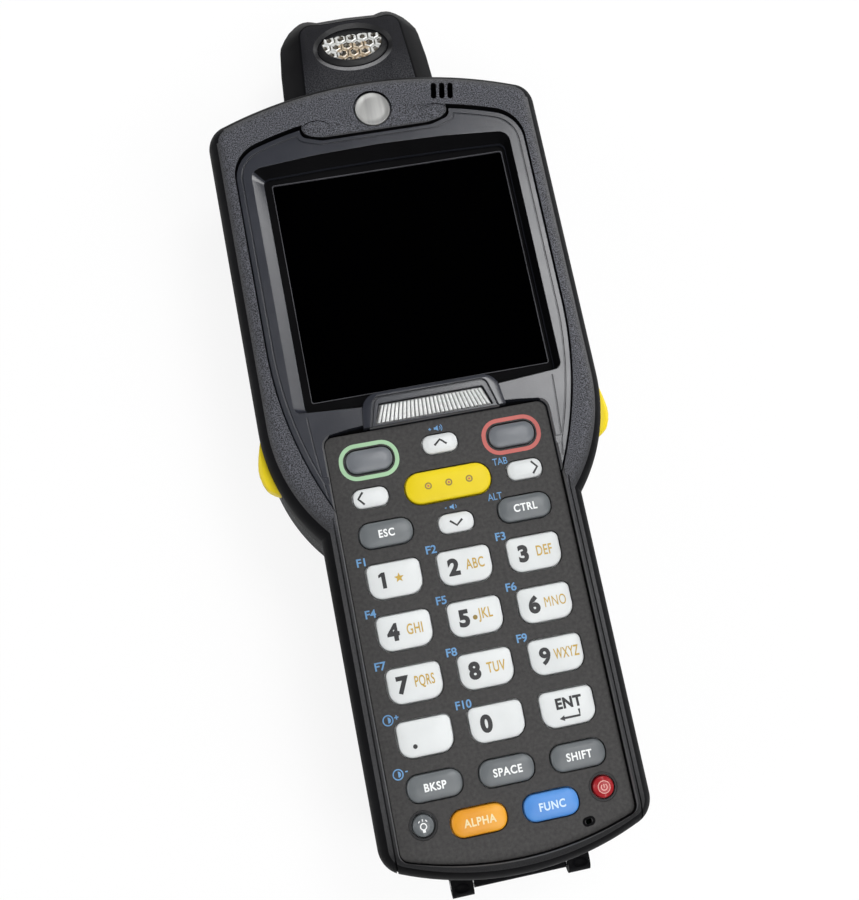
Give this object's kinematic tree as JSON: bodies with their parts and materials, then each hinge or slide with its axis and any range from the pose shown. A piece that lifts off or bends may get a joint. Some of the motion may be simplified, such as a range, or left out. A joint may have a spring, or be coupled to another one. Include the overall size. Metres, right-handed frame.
{
  "type": "portable data terminal",
  "caption": "Hand-held data terminal with a full keypad, recessed square display, swivelling scan head under a hood, side scan buttons and a hinged battery door at the back.",
  "frame": {"origin": "centre of the bounding box's bottom face: under the middle of the terminal as it lies on its back", "axes": "+Z out of the display, +Y from the bottom end towards the scan head, +X to the right of the keypad as it is read"},
  "size_m": [0.0816, 0.2099, 0.0406],
  "materials": {
    "housing_plastic": "fine stipple",
    "bezel_plastic": "smooth satin",
    "seal_rubber": "matt",
    "touch_glass": "polished",
    "module_metal": "satin",
    "lens_plastic": "clear ribbed moulding",
    "badge_metal": "brushed",
    "panel_plastic": "fine grain",
    "board": "solder mask",
    "black_plastic": "satin",
    "steel": "bright",
    "contact_metal": "gold plated",
    "yellow_rubber": "matt",
    "white_rubber": "matt",
    "grey_rubber": "matt",
    "orange_rubber": "matt",
    "blue_rubber": "matt",
    "dark_rubber": "matt",
    "red_rubber": "matt",
    "exit_glass": "polished"
  },
  "bodies": {
    "housing": {"front_housing": "housing_plastic", "rear_housing": "housing_plastic", "housing_seal": "seal_rubber", "display_bezel": "bezel_plastic", "display_gasket": "seal_rubber", "touch_panel": "touch_glass", "display_module": "module_metal", "light_bar": "lens_plastic", "badge_disc": "badge_metal", "keypad_panel": "panel_plastic", "keypad_board": "board", "main_board": "board", "speaker": "black_plastic", "backup_cell": "steel", "battery_contacts": "contact_metal", "port_connector": "steel", "battery_pack": "black_plastic", "door_hinge_pin": "steel", "swivel_plate": "housing_plastic", "housing_screws": "steel"},
    "head": {"head_cover": "housing_plastic", "head_base": "housing_plastic", "exit_window": "exit_glass", "indicator_lens": "lens_plastic", "scan_engine": "module_metal", "swivel_clip": "steel", "head_screws": "steel"},
    "door": {"battery_door": "housing_plastic"},
    "latch_left": {"door_latch_left": "black_plastic"},
    "latch_right": {"door_latch_right": "black_plastic"},
    "button_left": {"side_button_left": "yellow_rubber"},
    "button_right": {"side_button_right": "yellow_rubber"},
    "key_1": {"key_1": "white_rubber"},
    "key_2": {"key_2": "white_rubber"},
    "key_3": {"key_3": "white_rubber"},
    "key_4": {"key_4": "white_rubber"},
    "key_5": {"key_5": "white_rubber"},
    "key_6": {"key_6": "white_rubber"},
    "key_7": {"key_7": "white_rubber"},
    "key_8": {"key_8": "white_rubber"},
    "key_9": {"key_9": "white_rubber"},
    "key_point": {"key_point": "white_rubber"},
    "key_0": {"key_0": "white_rubber"},
    "key_enter": {"key_enter": "white_rubber"},
    "key_backspace": {"key_backspace": "grey_rubber"},
    "key_space": {"key_space": "grey_rubber"},
    "key_shift": {"key_shift": "grey_rubber"},
    "key_alpha": {"key_alpha": "orange_rubber"},
    "key_func": {"key_func": "blue_rubber"},
    "key_light": {"key_light": "grey_rubber"},
    "key_power": {"key_power": "red_rubber"},
    "key_escape": {"key_escape": "grey_rubber"},
    "key_control": {"key_control": "grey_rubber"},
    "key_up": {"key_up": "white_rubber"},
    "key_down": {"key_down": "white_rubber"},
    "key_left": {"key_left": "white_rubber"},
    "key_right": {"key_right": "white_rubber"},
    "key_scan": {"key_scan": "yellow_rubber"},
    "key_green": {"key_green": "dark_rubber"},
    "key_red": {"key_red": "dark_rubber"}
  },
  "joints": [
    {"name": "head_turn", "type": "hinge", "parent": "housing", "child": "head", "pos_m": [0, 0.06385, 0.015], "axis": [0, 0, 1], "range_deg": [-90, 90]},
    {"name": "door_open", "type": "hinge", "parent": "housing", "child": "door", "pos_m": [0, -0.10215, 0.0242], "axis": [-1, 0, 0], "range_deg": [0, 110]},
    {"name": "latch_left_slide", "type": "slide", "parent": "door", "child": "latch_left", "axis": [0, -1, 0], "range_m": [0, 0.0024], "stiffness_N_per_m": 300, "springref_m": -0.001},
    {"name": "latch_right_slide", "type": "slide", "parent": "door", "child": "latch_right", "axis": [0, -1, 0], "range_m": [0, 0.0024], "stiffness_N_per_m": 300, "springref_m": -0.001},
    {"name": "button_left_press", "type": "slide", "parent": "housing", "child": "button_left", "axis": [1, 0, 0], "range_m": [0, 0.0012], "stiffness_N_per_m": 1200, "springref_m": -0.0004},
    {"name": "button_right_press", "type": "slide", "parent": "housing", "child": "button_right", "axis": [-1, 0, 0], "range_m": [0, 0.0012], "stiffness_N_per_m": 1200, "springref_m": -0.0004},
    {"name": "press_key_scan", "type": "slide", "parent": "housing", "child": "key_scan", "axis": [0, 0, -1], "range_m": [0, 0.0008], "stiffness_N_per_m": 1500, "springref_m": -0.0004},
    {"name": "press_key_enter", "type": "slide", "parent": "housing", "child": "key_enter", "axis": [0, 0, -1], "range_m": [0, 0.0008], "stiffness_N_per_m": 1500, "springref_m": -0.0004},
    {"name": "press_key_power", "type": "slide", "parent": "housing", "child": "key_power", "axis": [0, 0, -1], "range_m": [0, 0.0008], "stiffness_N_per_m": 1500, "springref_m": -0.0004},
    {"name": "press_key_5", "type": "slide", "parent": "housing", "child": "key_5", "axis": [0, 0, -1], "range_m": [0, 0.0008], "stiffness_N_per_m": 1500, "springref_m": -0.0004},
    {"name": "press_key_alpha", "type": "slide", "parent": "housing", "child": "key_alpha", "axis": [0, 0, -1], "range_m": [0, 0.0008], "stiffness_N_per_m": 1500, "springref_m": -0.0004},
    {"name": "press_key_func", "type": "slide", "parent": "housing", "child": "key_func", "axis": [0, 0, -1], "range_m": [0, 0.0008], "stiffness_N_per_m": 1500, "springref_m": -0.0004},
    {"name": "press_key_up", "type": "slide", "parent": "housing", "child": "key_up", "axis": [0, 0, -1], "range_m": [0, 0.0008], "stiffness_N_per_m": 1500, "springref_m": -0.0004},
    {"name": "press_key_green", "type": "slide", "parent": "housing", "child": "key_green", "axis": [0, 0, -1], "range_m": [0, 0.0008], "stiffness_N_per_m": 1500, "springref_m": -0.0004},
    {"name": "press_key_1", "type": "slide", "parent": "housing", "child": "key_1", "axis": [0, 0, -1], "range_m": [0, 0.0008], "stiffness_N_per_m": 1500, "springref_m": -0.0004},
    {"name": "press_key_2", "type": "slide", "parent": "housing", "child": "key_2", "axis": [0, 0, -1], "range_m": [0, 0.0008], "stiffness_N_per_m": 1500, "springref_m": -0.0004},
    {"name": "press_key_3", "type": "slide", "parent": "housing", "child": "key_3", "axis": [0, 0, -1], "range_m": [0, 0.0008], "stiffness_N_per_m": 1500, "springref_m": -0.0004},
    {"name": "press_key_4", "type": "slide", "parent": "housing", "child": "key_4", "axis": [0, 0, -1], "range_m": [0, 0.0008], "stiffness_N_per_m": 1500, "springref_m": -0.0004},
    {"name": "press_key_6", "type": "slide", "parent": "housing", "child": "key_6", "axis": [0, 0, -1], "range_m": [0, 0.0008], "stiffness_N_per_m": 1500, "springref_m": -0.0004},
    {"name": "press_key_7", "type": "slide", "parent": "housing", "child": "key_7", "axis": [0, 0, -1], "range_m": [0, 0.0008], "stiffness_N_per_m": 1500, "springref_m": -0.0004},
    {"name": "press_key_8", "type": "slide", "parent": "housing", "child": "key_8", "axis": [0, 0, -1], "range_m": [0, 0.0008], "stiffness_N_per_m": 1500, "springref_m": -0.0004},
    {"name": "press_key_9", "type": "slide", "parent": "housing", "child": "key_9", "axis": [0, 0, -1], "range_m": [0, 0.0008], "stiffness_N_per_m": 1500, "springref_m": -0.0004},
    {"name": "press_key_point", "type": "slide", "parent": "housing", "child": "key_point", "axis": [0, 0, -1], "range_m": [0, 0.0008], "stiffness_N_per_m": 1500, "springref_m": -0.0004},
    {"name": "press_key_0", "type": "slide", "parent": "housing", "child": "key_0", "axis": [0, 0, -1], "range_m": [0, 0.0008], "stiffness_N_per_m": 1500, "springref_m": -0.0004},
    {"name": "press_key_backspace", "type": "slide", "parent": "housing", "child": "key_backspace", "axis": [0, 0, -1], "range_m": [0, 0.0008], "stiffness_N_per_m": 1500, "springref_m": -0.0004},
    {"name": "press_key_space", "type": "slide", "parent": "housing", "child": "key_space", "axis": [0, 0, -1], "range_m": [0, 0.0008], "stiffness_N_per_m": 1500, "springref_m": -0.0004},
    {"name": "press_key_shift", "type": "slide", "parent": "housing", "child": "key_shift", "axis": [0, 0, -1], "range_m": [0, 0.0008], "stiffness_N_per_m": 1500, "springref_m": -0.0004},
    {"name": "press_key_light", "type": "slide", "parent": "housing", "child": "key_light", "axis": [0, 0, -1], "range_m": [0, 0.0008], "stiffness_N_per_m": 1500, "springref_m": -0.0004},
    {"name": "press_key_escape", "type": "slide", "parent": "housing", "child": "key_escape", "axis": [0, 0, -1], "range_m": [0, 0.0008], "stiffness_N_per_m": 1500, "springref_m": -0.0004},
    {"name": "press_key_control", "type": "slide", "parent": "housing", "child": "key_control", "axis": [0, 0, -1], "range_m": [0, 0.0008], "stiffness_N_per_m": 1500, "springref_m": -0.0004},
    {"name": "press_key_down", "type": "slide", "parent": "housing", "child": "key_down", "axis": [0, 0, -1], "range_m": [0, 0.0008], "stiffness_N_per_m": 1500, "springref_m": -0.0004},
    {"name": "press_key_left", "type": "slide", "parent": "housing", "child": "key_left", "axis": [0, 0, -1], "range_m": [0, 0.0008], "stiffness_N_per_m": 1500, "springref_m": -0.0004},
    {"name": "press_key_right", "type": "slide", "parent": "housing", "child": "key_right", "axis": [0, 0, -1], "range_m": [0, 0.0008], "stiffness_N_per_m": 1500, "springref_m": -0.0004},
    {"name": "press_key_red", "type": "slide", "parent": "housing", "child": "key_red", "axis": [0, 0, -1], "range_m": [0, 0.0008], "stiffness_N_per_m": 1500, "springref_m": -0.0004}
  ]
}
